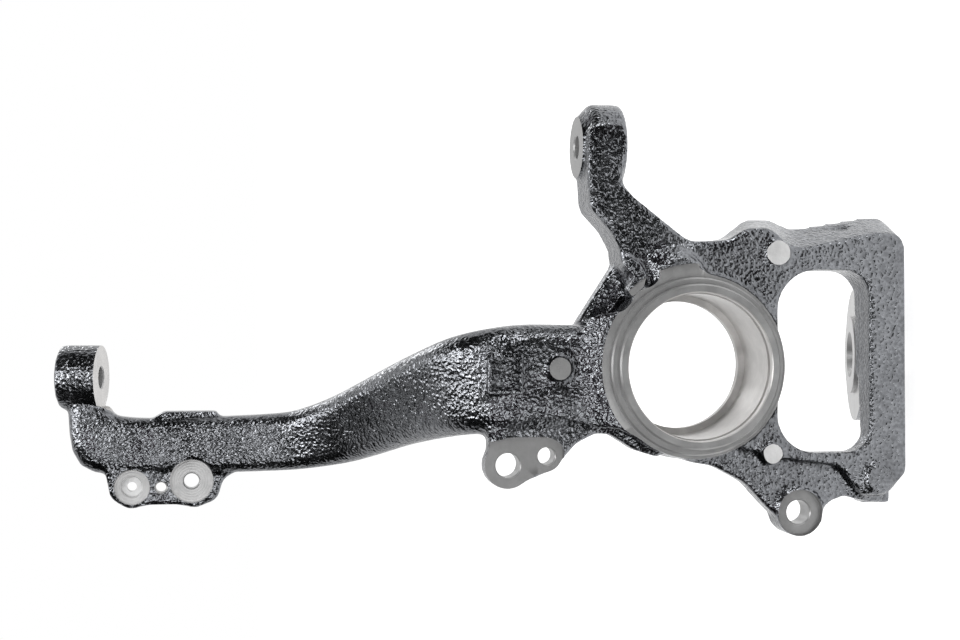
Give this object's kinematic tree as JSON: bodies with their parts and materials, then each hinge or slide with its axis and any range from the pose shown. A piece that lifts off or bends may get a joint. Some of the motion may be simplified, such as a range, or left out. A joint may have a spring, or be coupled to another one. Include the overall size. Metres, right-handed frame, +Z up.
{
  "type": "steering knuckle",
  "caption": "Cast-iron steering knuckle with a gooseneck to the upper ball joint, a pressed-bearing hub, a steering arm, caliper ears and a windowed lower frame.",
  "frame": {"origin": "on the wheel-bearing axis, half way along the bearing seat", "axes": "-Y outboard along the wheel axis, +Z up towards the upper ball joint, +X towards the steering arm"},
  "size_m": [0.2664, 0.2025, 0.5518],
  "materials": {
    "knuckle": "gloss black coat over a rough sand-cast skin; machined faces and bores bare"
  },
  "bodies": {
    "root": {"knuckle": "knuckle"}
  },
  "joints": []
}
